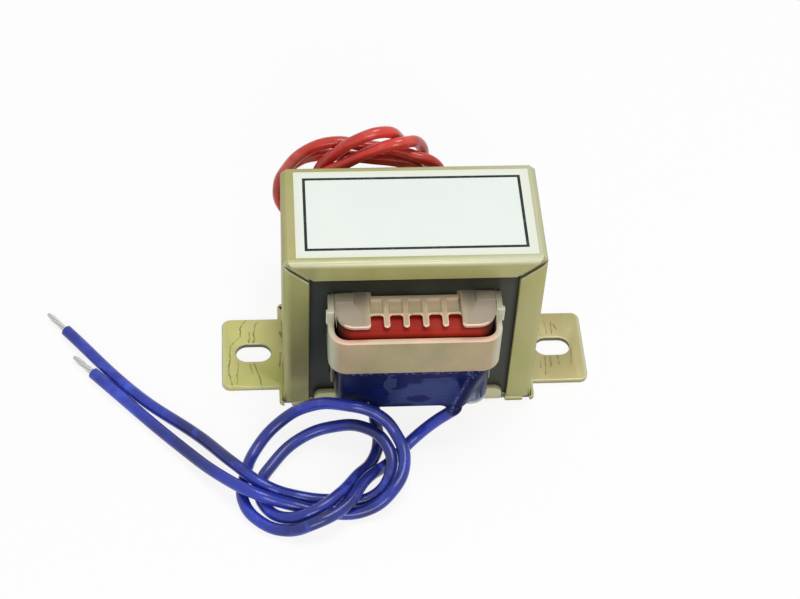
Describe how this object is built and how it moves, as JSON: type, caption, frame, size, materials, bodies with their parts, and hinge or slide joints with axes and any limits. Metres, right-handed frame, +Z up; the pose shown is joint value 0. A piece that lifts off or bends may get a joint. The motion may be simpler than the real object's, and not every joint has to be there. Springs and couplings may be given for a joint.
{
  "type": "laminated chassis transformer",
  "caption": "Mains transformer with an interleaved steel core in a folded channel frame, a slotted base plate for screws, a two-chamber bobbin and pairs of knotted flying leads.",
  "frame": {"origin": "centre of the base plate's underside, on the surface that the transformer stands on", "axes": "+X along the two slotted feet, +Y from the secondary leads' side to the primary leads' side, +Z up from the base plate to the label"},
  "size_m": [0.1114, 0.0944, 0.044],
  "materials": {
    "frame_zinc": "yellow passivated zinc plating, satin",
    "label_paper": "matt film label",
    "label_ink": "printed line",
    "core_steel": "oxide-annealed and varnished",
    "bobbin_nylon": "moulded, natural",
    "cover_nylon": "moulded, natural",
    "copper_wire": "enamelled wire",
    "tape_red": "polyester film tape",
    "tape_blue": "polyester film tape",
    "lead_blue": "soft insulation, semi-gloss",
    "lead_red": "soft insulation, semi-gloss",
    "tinned_wire": "tinned strands"
  },
  "bodies": {
    "root": {"channel_frame": "frame_zinc", "base_plate": "frame_zinc", "label": "label_paper", "label_border": "label_ink", "front_e_lamination": "core_steel", "front_i_lamination": "core_steel", "rear_e_lamination": "core_steel", "rear_i_lamination": "core_steel", "upright_e_laminations": "core_steel", "inverted_e_laminations": "core_steel", "upper_i_laminations": "core_steel", "lower_i_laminations": "core_steel", "bobbin": "bobbin_nylon", "front_winding_cover": "cover_nylon", "rear_winding_cover": "cover_nylon", "primary_winding": "copper_wire", "primary_tape": "tape_red", "secondary_winding": "copper_wire", "secondary_tape": "tape_blue", "secondary_lead_1": "lead_blue", "secondary_lead_2": "lead_blue", "primary_lead_1": "lead_red", "primary_lead_2": "lead_red", "secondary_tip_1": "tinned_wire", "secondary_tip_2": "tinned_wire", "primary_tip_1": "tinned_wire", "primary_tip_2": "tinned_wire"}
  },
  "joints": []
}
